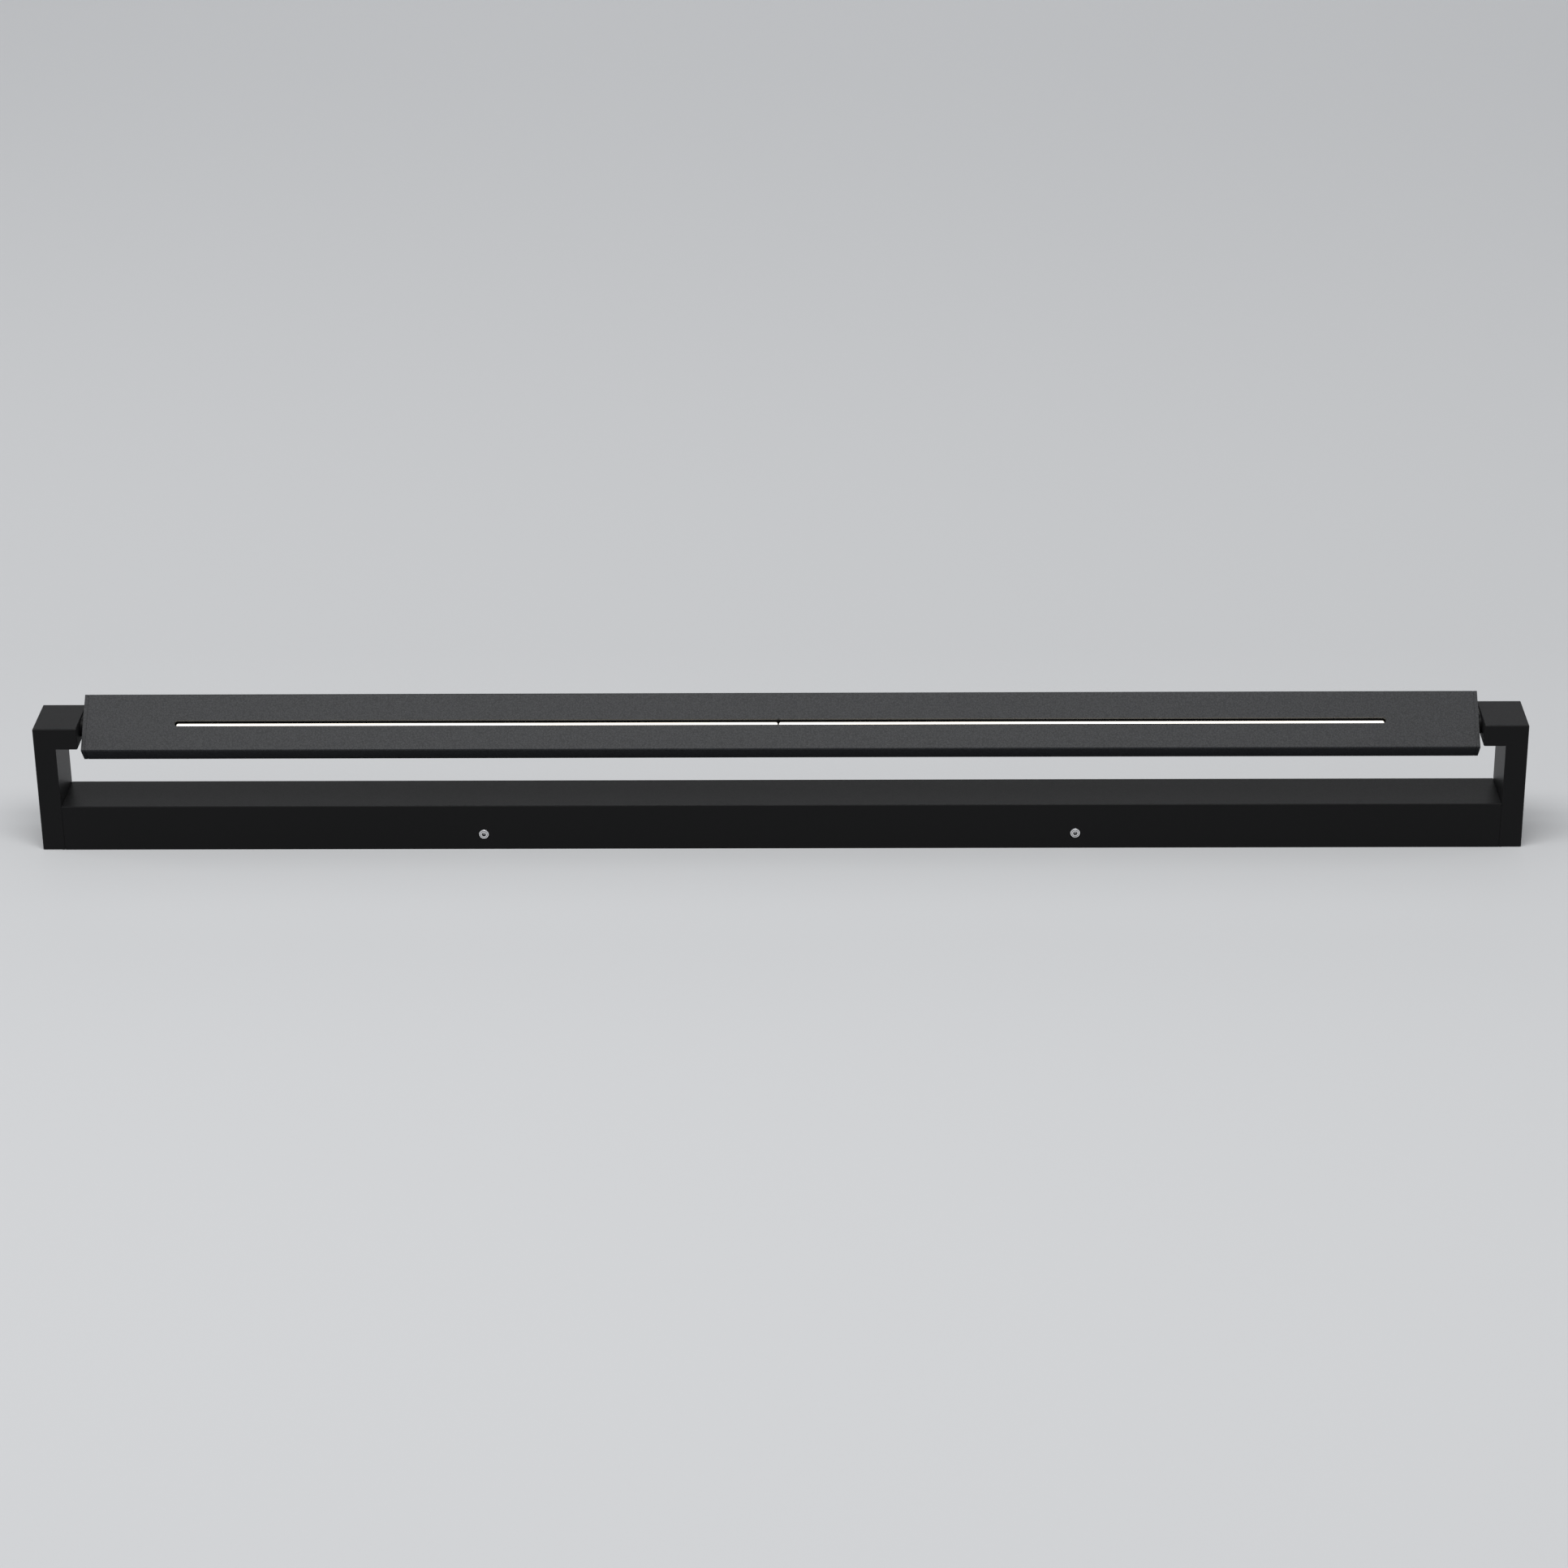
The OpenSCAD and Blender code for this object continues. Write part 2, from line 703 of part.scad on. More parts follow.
module driver_case() {
    color(white_plastic) translate([driver_x, 0, driver_base]) difference() {
        union() {
            linear_extrude(driver_h) round_rect(driver_len, driver_w, 2);
            linear_extrude(driver_foot_t) round_rect(driver_len + 2 * driver_foot, driver_w - 8, 3);
        }
        difference() {
            translate([0, 0, driver_wall]) linear_extrude(driver_h) {
                round_rect(driver_len - 2 * driver_wall, driver_w - 2 * driver_wall, 1);
            }
            // Stands for the board, and corner posts for the lid screws
            for (sx = [-1, 1], sy = [-1, 1]) {
                translate([sx * (driver_len / 2 - 22), sy * (driver_w / 2 - 5), 0]) {
                    cylinder(r = 2, h = driver_wall + driver_stand);
                }
                translate([sx * (driver_len / 2 - 4), sy * (driver_w / 2 - 4), 0]) {
                    cylinder(r = 2.8, h = driver_h);
                }
            }
        }
        for (sx = [-1, 1]) {
            translate([sx * (driver_len + driver_foot) / 2, 0, -cut]) {
                cylinder(d = driver_screw_d + 0.4, h = driver_foot_t + 2 * cut);
            }
            for (sy = [-1, 1]) {
                translate([sx * (driver_len / 2 - 4), sy * (driver_w / 2 - 4), driver_h - 6]) {
                    cylinder(d = 2.2, h = 6 + cut);
                }
            }
        }
        // Ways out for the leads
        for (sy = [-1, 1]) translate([0, sy * supply_y, cable_z - driver_base]) {
            bar_x(driver_len / 2 - driver_wall - cut, driver_len / 2 + cut, wire_d / 2 + 0.3);
        }
        translate([0, 0, cable_z - driver_base]) {
            bar_x(-driver_len / 2 - cut, -driver_len / 2 + driver_wall + cut, cable_d / 2 + 0.3);
        }
    }
}

module driver_lid() {
    color(white_plastic) translate([driver_x, 0, driver_rim]) difference() {
        linear_extrude(driver_lid_t) round_rect(driver_len, driver_w, 2);
        for (sx = [-1, 1], sy = [-1, 1]) {
            translate([sx * (driver_len / 2 - 4), sy * (driver_w / 2 - 4), driver_lid_t]) {
                flat_hole(2.2, 4, driver_lid_t + cut);
            }
        }
    }
}

module driver_lid_screws() {
    for (sx = [-1, 1], sy = [-1, 1]) {
        translate([driver_x + sx * (driver_len / 2 - 4), sy * (driver_w / 2 - 4),
                driver_rim + driver_lid_t]) {
            flat_screw(2.2 - 2 * thread_clear, 4, 6);
        }
    }
}

module driver_mount_screws() {
    for (sx = [-1, 1]) {
        translate([driver_x + sx * (driver_len + driver_foot) / 2, 0,
                driver_base + driver_foot_t + 2]) {
            pan_screw(driver_screw_d - 2 * thread_clear, 6, 2, driver_foot_t + rear_t + 1);
        }
    }
}

module driver_board() {
    length = driver_len - 2 * driver_wall - 1;
    width = driver_w - 2 * driver_wall - 1;
    color("#2c6e49") translate([driver_x, 0, driver_board_z - driver_board_t]) difference() {
        linear_extrude(driver_board_t) square([length, width], center = true);
        for (sx = [-1, 1], sy = [-1, 1]) {
            // Corners cleared for the lid's posts
            translate([sx * (driver_len / 2 - 4), sy * (driver_w / 2 - 4), -cut]) {
                cylinder(r = 3.4, h = driver_board_t + 2 * cut);
            }
        }
    }
}

module driver_connectors() {
    color("#3a7f52") for (s = [-1, 1]) {
        width = s > 0 ? 12.5 : 8;
        holes = s > 0 ? [-supply_y, supply_y] : [0];
        translate([driver_x + s * (driver_len / 2 - driver_wall - 1 - connector_len / 2), 0,
                driver_board_z]) difference() {
            translate([-connector_len / 2, -width / 2, 0]) {
                cube([connector_len, width, connector_h]);
            }
            for (y = holes) translate([0, y, cable_z - driver_board_z]) {
                if (s > 0) bar_x(-3, connector_len, wire_d / 2 + 0.2);
                else bar_x(-connector_len, 3, cable_d / 2 + 0.2);
            }
            for (y = holes) translate([-s * 2, y, connector_h - 1]) cylinder(d = 2.4, h = 1 + cut);
        }
    }
}

module driver_transformer() {
    height = driver_rim - driver_board_z - 0.8;
    color("#3b3d40") translate([driver_x + 12, 0, driver_board_z]) difference() {
        translate([-11, -9, 0]) cube([22, 18, height]);
        // Window that the winding fills
        for (s = [-1, 1]) translate([s * 6, 0, height / 2]) {
            cube([5, 18 + 2 * cut, height - 4], center = true);
        }
    }
    color("#d9a441") translate([driver_x + 12, 0, driver_board_z + height / 2]) {
        for (s = [-1, 1]) translate([s * 6, 0, 0]) {
            cube([5 - 0.1, 21, height - 4.1], center = true);
        }
    }
}

module driver_capacitors() {
    color("#22262c") for (k = [0, 1]) {
        translate([driver_x + 38, k == 0 ? -5.4 : 5.4, driver_board_z + 4.1]) {
            bar_x(-8, 8, 4);
        }
    }
    color("#22262c") translate([driver_x - 24, 5, driver_board_z]) cylinder(r = 4, h = 8.5);
    color("#d0b95a") translate([driver_x - 45, -7, driver_board_z]) cube([12, 6, 7.5]);
}

module driver_choke() {
    color("#b5652b") translate([driver_x - 24, -5.4, driver_board_z + 2.6]) {
        rotate_extrude() translate([3.4, 0]) circle(r = 1.9);
    }
}

module driver_cable() {
    color("#2a2b2d") mirror([1, 0, 0]) lead(driver_cable_route, cable_d, side_axis = [0, 1, 0.05]);
}

// Arms ------------------------------------------------------------------------------

module arm_body() {
    intersection() {
        union() {
            translate([arm_out - arm_t / 2, 0, arm_h / 2]) along_y(depth) {
                round_rect(arm_t, arm_h, arm_edge_r);
            }
            translate([arm_out - block_reach / 2, 0, pivot_z]) along_y(depth) {
                round_rect(block_reach, block_t, arm_edge_r);
            }
        }
        translate([arm_out - block_reach / 2, 0, 0]) linear_extrude(arm_h) {
            round_rect(block_reach, depth, arm_edge_r);
        }
        translate([arm_out - block_reach / 2, 0, arm_h / 2]) along_x(block_reach) {
            round_rect(depth, arm_h, arm_edge_r);
        }
    }
    // Square inner edge of the leg where it meets the base channel
    translate([arm_in, -depth / 2, 0]) cube([arm_edge_r * 2, depth, base_h]);
}

module arm(side) {
    color(black_satin) on_side(side) difference() {
        union() {
            difference() {
                union() {
                    arm_body();
                    // Spigot that fits inside the base channel
                    from_x_to_x(arm_in - spigot_len, arm_in + cut) {
                        translate([-inner_y + 0.2, spigot_low]) {
                            square([2 * (inner_y - 0.2), spigot_high - spigot_low]);
                        }
                    }
                }
                // Pocket for the lead, open to the outer face
                from_x_to_x(web_out, arm_out + cut) {
                    translate([0, (pocket_low + pocket_high) / 2]) {
                        round_rect(pocket_w, pocket_high - pocket_low, pocket_r);
                    }
                }
                // Hollow of the spigot
                from_x_to_x(arm_in - spigot_len - cut, arm_in) {
                    translate([-inner_y + 0.2 + spigot_wall, spigot_low + spigot_wall]) {
                        square([2 * (inner_y - 0.2 - spigot_wall),
                            spigot_high - spigot_low - 2 * spigot_wall]);
                    }
                }
            }
            // Bosses for the cover screws
            for (z = cover_screw_z) translate([0, 0, z]) bar_x(web_out - cut, cover_in, boss_r);
        }
        // Seat of the outer cover
        from_x_to_x(cover_in, arm_out + cut) {
            translate([0, recess_low + recess_h / 2]) {
                round_rect(recess_w, recess_h, pocket_r);
            }
        }
        for (z = cover_screw_z) translate([0, 0, z]) {
            bar_x(cover_in - cover_screw_len, cover_in + cut, cover_screw_d / 2);
        }
        for (s = [-1, 1]) translate([0, s * port_y, port_z]) {
            bar_x(arm_in - cut, web_out + cut, fixing_d / 2 + 0.2);
        }
        translate([0, 0, cable_z]) bar_x(arm_in - cut, web_out + cut, grommet_hole_r);
        translate([0, 0, pivot_z]) {
            bar_x(block_in - cut, bushing_in + cut, bushing_d / 2);
            bar_x(bushing_in, web_out + cut, counter_r);
        }
    }
}

module arm_cover(side) {
    w = recess_w - 2 * cover_clear;
    h = recess_h - 2 * cover_clear;
    color(black_satin) on_side(side) difference() {
        from_x_to_x(cover_in, arm_out) {
            translate([0, recess_low + recess_h / 2]) round_rect(w, h, pocket_r - cover_clear);
        }
        for (z = cover_screw_z) translate([arm_out, 0, z]) rotate([0, 90, 0]) {
            flat_hole(cover_screw_d, cover_screw_head, arm_cover_t + cut);
        }
    }
}

module arm_cover_screws() {
    for (side = [-1, 1], z = cover_screw_z) on_side(side) {
        translate([arm_out, 0, z]) rotate([0, 90, 0]) {
            flat_screw(cover_screw_d - 2 * thread_clear, cover_screw_head, cover_screw_len);
        }
    }
}

module arm_fixing_screws() {
    for (side = [-1, 1], s = [-1, 1]) on_side(side) {
        translate([web_out + fixing_head_h, s * port_y, port_z]) rotate([0, 90, 0]) {
            pan_screw(fixing_d - 2 * thread_clear, fixing_head_d, fixing_head_h, fixing_len);
        }
    }
}

module arm_grommet() {
    color(black_nylon) on_side(-1) translate([0, 0, cable_z]) difference() {
        union() {
            bar_x(arm_in, web_out, grommet_hole_r - 0.05);
            bar_x(arm_in - grommet_lip, arm_in, grommet_hole_r + 1);
        }
        bar_x(arm_in - grommet_lip - cut, web_out + cut, cable_d / 2 + 0.3);
    }
}

module pivot_bushing(side) {
    color(black_nylon) on_side(side) translate([0, 0, pivot_z]) difference() {
        union() {
            bar_x(block_in - washer_t, block_in, washer_r);
            bar_x(block_in - washer_t / 2, bushing_in, bushing_d / 2 - 0.02);
        }
        bar_x(block_in - washer_t - cut, bushing_in + cut, shaft_r + run_clear);
    }
}

// Head ------------------------------------------------------------------------------

module head_outline() {
    round_rect(head_w, head_t, head_edge_r);
}

module profile_wall_section() {
    difference() {
        head_outline();
        round_rect(head_in_w, head_in_t, 0.5);
    }
    // Screw ports beside the two long edges
    for (s = [-1, 1]) {
        outer = head_in_w / 2 + 0.5;
        inner = head_port_y - head_port_r - 1;
        translate([s * (outer + inner) / 2, 0]) difference() {
            square([outer - inner, head_port_h], center = true);
            translate([s * (head_port_y - (outer + inner) / 2), 0]) circle(r = head_port_r);
        }
    }
}

// The thick rib with the lens track and a dark chamber between the lens and the face, and
// the ledge that the boards lie on
module profile_rib_section() {
    rib_w = track_w + 2 * track_wall;
    top = face_n - head_wall / 2;
    rib_low = track_n - track_t - track_hook;
    back = -face_n + head_wall / 2;
    translate([slot_offset, 0]) {
        difference() {
            translate([-rib_w / 2, rib_low]) square([rib_w, top - rib_low]);
            translate([-chamber_w / 2, chamber_n]) square([chamber_w, face_n - head_wall - chamber_n]);
            translate([-track_w / 2, track_n - track_t]) square([track_w, track_t]);
            translate([-track_mouth / 2, rib_low - cut]) square([track_mouth, track_hook + 2 * cut]);
        }
        difference() {
            translate([-pedestal_w / 2, back]) square([pedestal_w, board_n - board_t / 2 - back]);
            translate([-pedestal_w / 2 + pedestal_lip, pedestal_n]) {
                square([pedestal_w - 2 * pedestal_lip, board_t + tape_t + cut]);
            }
        }
    }
}

module head_profile() {
    color(black_sand) in_head() difference() {
        union() {
            along_x(profile_len) profile_wall_section();
            along_x(rib_len) profile_rib_section();
        }
        // The slot through the face, and the narrower one that the lens stands in
        translate([0, slot_offset, face_n - head_wall - cut / 2]) {
            linear_extrude(head_wall + cut) stadium(slot_len, slot_w);
        }
        translate([0, slot_offset, track_n - cut / 4]) linear_extrude(chamber_floor + cut / 2) {
            stadium(2 * (lens_end + slide_clear), lens_w + 2 * slide_clear);
        }
        for (s = [-1, 1]) {
            seam_groove(s * (profile_len - seam_w) / 2, head_w, head_t, head_edge_r);
        }
    }
}

module head_cap(side) {
    x0 = profile_len / 2;
    color(black_sand) in_head() on_side(side) difference() {
        from_x_to_x(x0, x0 + cap_t) head_outline();
        difference() {
            bar_x(x0 - cut, x0 + cap_t + cut, shaft_r + 0.05);
            translate([x0, 0, shaft_r - shaft_flat + 0.05 + 2]) cube([4 * cap_t, 8, 4], center = true);
        }
        for (s = [-1, 1]) translate([x0 + cap_t, s * head_port_y, 0]) rotate([0, 90, 0]) {
            flat_hole(cap_screw_d, cap_screw_head, cap_t + cut);
        }
    }
}

module head_cap_screws() {
    in_head() for (side = [-1, 1], s = [-1, 1]) on_side(side) {
        translate([head_len / 2, s * head_port_y, 0]) rotate([0, 90, 0]) {
            flat_screw(cap_screw_d - 2 * thread_clear, cap_screw_head, cap_screw_len);
        }
    }
}

module pivot_shaft(side) {
    x0 = profile_len / 2;
    color(zinc) in_head() on_side(side) difference() {
        union() {
            bar_x(x0 - shaft_flange_t, x0, shaft_flange_r);
            difference() {
                bar_x(x0 - shaft_flange_t / 2, head_len / 2, shaft_r);
                // Flat that keys the shaft to the end cap
                translate([x0 + cap_t / 2, 0, shaft_r - shaft_flat + 2]) {
                    cube([cap_t, 8, 4], center = true);
                }
            }
            bar_x(head_len / 2, shaft_end, shaft_r);
        }
        bar_x(x0 - shaft_flange_t - cut, shaft_end + cut, shaft_hole_d / 2);
    }
}

module spacer_washers() {
    x0 = head_len / 2;
    color(black_nylon) in_head() for (side = [-1, 1]) on_side(side) {
        ring_x(x0, x0 + washer_t, washer_r, shaft_r + 0.1);
    }
}

module thrust_washers() {
    color(zinc) in_head() for (side = [-1, 1]) on_side(side) {
        ring_x(thrust_x, thrust_x + thrust_t, nut_d / 2, shaft_r + 0.1);
    }
}

// One cone of spring steel, rising from its rim to its hole
module disc_spring() {
    r_in = shaft_r + 0.1;
    r_out = nut_d / 2 - 0.1;
    rotate_extrude() polygon([
        [r_in, spring_rise], [r_out, 0], [r_out, spring_t], [r_in, spring_rise + spring_t]
    ]);
}

module disc_springs() {
    color(zinc) in_head() for (side = [-1, 1]) on_side(side) {
        translate([spring_x, 0, 0]) rotate([0, 90, 0]) disc_spring();
        translate([spring_x + spring_pair, 0, 0]) rotate([0, -90, 0]) disc_spring();
    }
}

module pivot_nuts() {
    color("#c8a951") in_head() for (side = [-1, 1]) on_side(side) difference() {
        ring_x(nut_x, nut_x + nut_t, nut_d / 2, shaft_r + 0.01);
        // Slots for the spanner
        for (a = [0, 90]) rotate([a, 0, 0]) {
            translate([nut_x + nut_t, 0, 0]) cube([2, 1.4, nut_d + 2], center = true);
        }
    }
}

// Light source ------------------------------------------------------------------------

module lens(side) {
    nose_t = slot_depth - lens_recess;
    color(warm_light) in_head() on_side(side) translate([0, slot_offset, 0]) {
        translate([(lens_end + lens_gap) / 2, 0, track_n]) linear_extrude(nose_t) {
            stadium(lens_end - lens_gap, lens_w);
        }
        translate([joiner_len / 2, -lens_flange_w / 2, track_n - lens_flange_t]) {
            cube([board_end - joiner_len / 2, lens_flange_w, lens_flange_t]);
        }
    }
}

module lens_joiner() {
    color(black_nylon) in_head() translate([0, slot_offset, track_n - lens_flange_t / 2]) {
        cube([joiner_len, lens_flange_w, lens_flange_t], center = true);
    }
}

module led_board(side) {
    color(white_plastic) in_head() on_side(side) {
        translate([board_gap / 2, slot_offset - board_w / 2, board_n - board_t]) {
            cube([board_end - board_gap / 2, board_w, board_t]);
        }
    }
}

module thermal_tape(side) {
    color("#b9c4cf") in_head() on_side(side) {
        translate([board_gap / 2 + 1, slot_offset - board_w / 2 + 0.5, pedestal_n]) {
            cube([board_end - board_gap / 2 - 2, board_w - 1, tape_t]);
        }
    }
}

module leds(side) {
    count = floor((board_end - led_pitch) / led_pitch);
    color("#f2d98a") in_head() on_side(side) for (k = [0 : count - 1]) {
        translate([(k + 0.75) * led_pitch - 1.75, slot_offset - 1.4, board_n]) {
            cube([3.5, 2.8, chip_h]);
        }
    }
}

// Two short bridges that carry the current from board to board
module board_link() {
    color(silver) in_head() for (s = [-1, 1]) {
        translate([-2.2, slot_offset + s * 2.8 - 0.5, board_n]) cube([4.4, 1, 0.6]);
    }
}

module head_cable() {
    color("#2a2b2d") in_head() mirror([1, 0, 0]) lead(head_cable_route, cable_d);
}

base_housing();
wall_bracket();
locking_screws();
supply_bushing();
ground_screw();
ground_terminal();
ground_wire();
terminal_block();
terminal_screws();
terminal_mount_screws();
line_wire();
neutral_wire();
rear_cover(-1);  // rear_cover_left
rear_cover(1);  // rear_cover_right
driver_case();
driver_lid();
driver_lid_screws();
driver_mount_screws();
driver_board();
driver_connectors();
driver_transformer();
driver_capacitors();
driver_choke();
driver_cable();
arm(-1);  // left_arm
arm(1);  // right_arm
arm_cover(-1);  // left_arm_cover
arm_cover(1);  // right_arm_cover
arm_cover_screws();
arm_fixing_screws();
arm_grommet();
pivot_bushing(-1);  // left_pivot_bushing
pivot_bushing(1);  // right_pivot_bushing
head_profile();
head_cap(-1);  // head_cap_left
head_cap(1);  // head_cap_right
head_cap_screws();
pivot_shaft(-1);  // left_pivot_shaft
pivot_shaft(1);  // right_pivot_shaft
spacer_washers();
thrust_washers();
disc_springs();
pivot_nuts();
lens(-1);  // lens_left
lens(1);  // lens_right
lens_joiner();
led_board(-1);  // led_board_left
led_board(1);  // led_board_right
leds(-1);  // leds_left
leds(1);  // leds_right
thermal_tape(-1);  // thermal_tape_left
thermal_tape(1);  // thermal_tape_right
board_link();
head_cable();
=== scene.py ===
"""Vanity light bar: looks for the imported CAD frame, with the camera, floor and studio light."""

import json
import math

import bpy
from mathutils import Matrix, Vector

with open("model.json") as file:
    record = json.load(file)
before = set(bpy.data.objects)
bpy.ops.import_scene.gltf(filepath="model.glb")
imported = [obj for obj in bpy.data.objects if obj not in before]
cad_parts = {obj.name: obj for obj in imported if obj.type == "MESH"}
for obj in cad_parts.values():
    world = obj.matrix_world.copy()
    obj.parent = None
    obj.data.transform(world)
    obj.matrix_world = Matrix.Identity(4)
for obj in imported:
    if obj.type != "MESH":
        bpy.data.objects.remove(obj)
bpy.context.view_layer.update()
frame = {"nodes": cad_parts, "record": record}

nodes = frame["nodes"]
slot_of = {s["node"]: s["material_slot"] for s in frame["record"]["subparts"]}

# Camera: a long lens in front of the bar and a little to its right, looking down
EYE = Vector((0.0584, -2.2982, 1.0953))
YAW, PITCH, ROLL = (math.radians(a) for a in (-1.382, 24.759, -0.711))
LENS_MM, SENSOR_MM = 93.9, 36.0
CLIP_M = (0.05, 60.0)

# Floor, in metres: half its width, its front and back edges, and the curve behind it
FLOOR_HALF, FLOOR_FRONT, FLOOR_BACK = 9.0, -7.0, 5.0
CURVE_RADIUS, CURVE_RISE, CURVE_STEPS = 3.0, 4.0, 24
# Floor colour near the camera and far behind: the paler far colour is painted light
FLOOR_NEAR, FLOOR_FAR = (0.535, 0.54, 0.548), (0.755, 0.76, 0.77)

# Studio light: name, place, aim, size in metres and power in watts
SOFTBOXES = (
    ("top_light", (-0.15, -0.9, 2.5), (0.0, 0.1, 0.0), (3.2, 1.0), 68.0),
    ("back_light", (0.0, 3.4, 1.5), (0.0, 0.0, 0.0), (3.6, 0.9), 10.0),
    ("left_light", (-2.6, 0.2, 1.4), (0.0, 0.0, 0.0), (1.0, 1.6), 13.0),
    ("right_light", (2.6, 0.2, 1.4), (0.0, 0.0, 0.0), (1.0, 1.6), 8.0),
)
SKY_COLOUR, SKY_STRENGTH = (0.93, 0.96, 1.0), 0.30


def make_camera():
    data = bpy.data.cameras.new("camera")
    data.lens = LENS_MM
    data.sensor_width = SENSOR_MM
    data.clip_start, data.clip_end = CLIP_M
    camera = bpy.data.objects.new("camera", data)
    bpy.context.scene.collection.objects.link(camera)
    turn = Matrix.Rotation(-YAW, 4, "Z") @ Matrix.Rotation(math.pi / 2 - PITCH, 4, "X")
    camera.matrix_world = Matrix.Translation(EYE) @ turn @ Matrix.Rotation(ROLL, 4, "Z")
    bpy.context.scene.camera = camera


# Materials ---------------------------------------------------------------------------


class Nodes:
    """A material's node tree, with short calls for the nodes that the materials share."""

    def __init__(self, name):
        self.material = bpy.data.materials.new(name)
        self.material.use_nodes = True
        self.tree = self.material.node_tree
        self.shader = self.tree.nodes["Principled BSDF"]
        self.place = self.add("ShaderNodeTexCoord").outputs["Object"]

    def add(self, kind, **settings):
        node = self.tree.nodes.new(kind)
        for key, value in settings.items():
            setattr(node, key, value)
        return node

    def link(self, start, end):
        self.tree.links.new(start, end)

    def noise(self, scale, detail=3.0, stretch=None):
        """Noise with its scale in cells per metre; stretch scales the place along X, Y and Z."""
        node = self.add("ShaderNodeTexNoise")
        node.inputs["Scale"].default_value = scale
        node.inputs["Detail"].default_value = detail
        place = self.place
        if stretch:
            mapping = self.add("ShaderNodeMapping")
            mapping.inputs["Scale"].default_value = stretch
            self.link(place, mapping.inputs["Vector"])
            place = mapping.outputs["Vector"]
        self.link(place, node.inputs["Vector"])
        return node.outputs["Fac"]

    def grains(self, scale):
        """Distance to the nearest of many scattered points: round grains."""
        node = self.add("ShaderNodeTexVoronoi")
        node.inputs["Scale"].default_value = scale
        self.link(self.place, node.inputs["Vector"])
        return node.outputs["Distance"]

    def openness(self, reach):
        """How open the surface is to its surroundings: 1 on a flat face, less in a recess."""
        node = self.add("ShaderNodeAmbientOcclusion", samples=8)
        node.inputs["Distance"].default_value = reach
        return node.outputs["AO"]

    def spread(self, value, low, high, start=0.3, stop=0.7):
        """Maps a texture onto the range from low to high."""
        node = self.add("ShaderNodeMapRange")
        node.inputs["From Min"].default_value = start
        node.inputs["From Max"].default_value = stop
        node.inputs["To Min"].default_value = low
        node.inputs["To Max"].default_value = high
        self.link(value, node.inputs["Value"])
        return node.outputs["Result"]

    def two_tone(self, fac, dark, light):
        """Mixes two colours: dark where fac is 0 and light where it is 1."""
        # The colour sockets share their names with the number sockets, so they go by place
        first, second, result = 6, 7, 2
        node = self.add("ShaderNodeMix", data_type="RGBA")
        self.link(fac, node.inputs["Factor"])
        node.inputs[first].default_value = (*dark, 1.0)
        node.inputs[second].default_value = (*light, 1.0)
        return node.outputs[result]

    def bump(self, height, depth, strength=1.0, under=None):
        """Relief of this depth in metres, on top of the relief in under."""
        node = self.add("ShaderNodeBump")
        node.inputs["Strength"].default_value = strength
        node.inputs["Distance"].default_value = depth
        self.link(height, node.inputs["Height"])
        if under is not None:
            self.link(under, node.inputs["Normal"])
        return node.outputs["Normal"]

    def set(self, **values):
        """Sets the shader's own sockets, named with _ for a space."""
        for name, value in values.items():
            self.shader.inputs[name.replace("_", " ")].default_value = value


def scaled(colour, k):
    """The colour, k times as bright."""
    return tuple(min(1.0, c * k) for c in colour)


def painted(name, colour, rough, grain, depth, tone=0.12, sparkle=0.03, specular=0.5):
    """Powder coat: grain is the size of its texture in metres, depth its height, and
    sparkle how much its gloss changes from grain to grain."""
    n = Nodes(name)
    fine = n.noise(1.0 / grain, detail=2.0)
    specks = n.grains(0.8 / grain)
    n.link(n.two_tone(n.spread(fine, 0.0, 1.0, start=0.35, stop=0.65),
                      scaled(colour, 1 - tone), scaled(colour, 1 + tone)),
           n.shader.inputs["Base Color"])
    n.link(n.spread(specks, rough - sparkle, rough + sparkle, start=0.2, stop=0.7),
           n.shader.inputs["Roughness"])
    swell = n.bump(specks, depth, strength=0.6)
    n.link(n.bump(fine, depth, under=swell), n.shader.inputs["Normal"])
    n.set(Specular_IOR_Level=specular)
    return n.material


def metal(name, colour, rough, brush=(40.0, 1.0, 1.0), shade_reach=0.0):
    """Plated or bare metal with fine lines that lie across brush's largest direction.
    The last argument, a reach in metres, paints shade: recesses narrower than about twice it get
    a darker base colour."""
    scale, depth = 900.0, 2e-6
    n = Nodes(name)
    lines = n.noise(scale, detail=4.0, stretch=brush)
    # Painted shade: where ambient occlusion finds a recess, the base colour darkens to 6 percent
    if shade_reach:
        dark, patches_and_shade = 0.06, n.spread(n.openness(shade_reach), 0.0, 1.0, start=0.45, stop=0.9)
    else:
        dark, patches_and_shade = 0.88, n.noise(90.0)
    n.link(n.two_tone(patches_and_shade, scaled(colour, dark), scaled(colour, 1.08)),
           n.shader.inputs["Base Color"])
    n.link(n.spread(lines, rough - 0.06, rough + 0.08), n.shader.inputs["Roughness"])
    n.link(n.bump(lines, depth), n.shader.inputs["Normal"])
    n.set(Metallic=1.0)
    return n.material


def plastic(name, colour, rough, coat=0.0, specular=0.5):
    """Moulded plastic or rubber with a fine spark-eroded grain."""
    grain, depth = 0.00025, 6e-6
    n = Nodes(name)
    fine = n.noise(1.0 / grain, detail=2.0)
    cloud = n.noise(120.0)
    n.link(n.two_tone(cloud, scaled(colour, 0.92), scaled(colour, 1.06)),
           n.shader.inputs["Base Color"])
    n.link(n.spread(fine, rough - 0.05, rough + 0.05), n.shader.inputs["Roughness"])
    n.link(n.bump(fine, depth), n.shader.inputs["Normal"])
    n.set(Coat_Weight=coat, Specular_IOR_Level=specular)
    return n.material


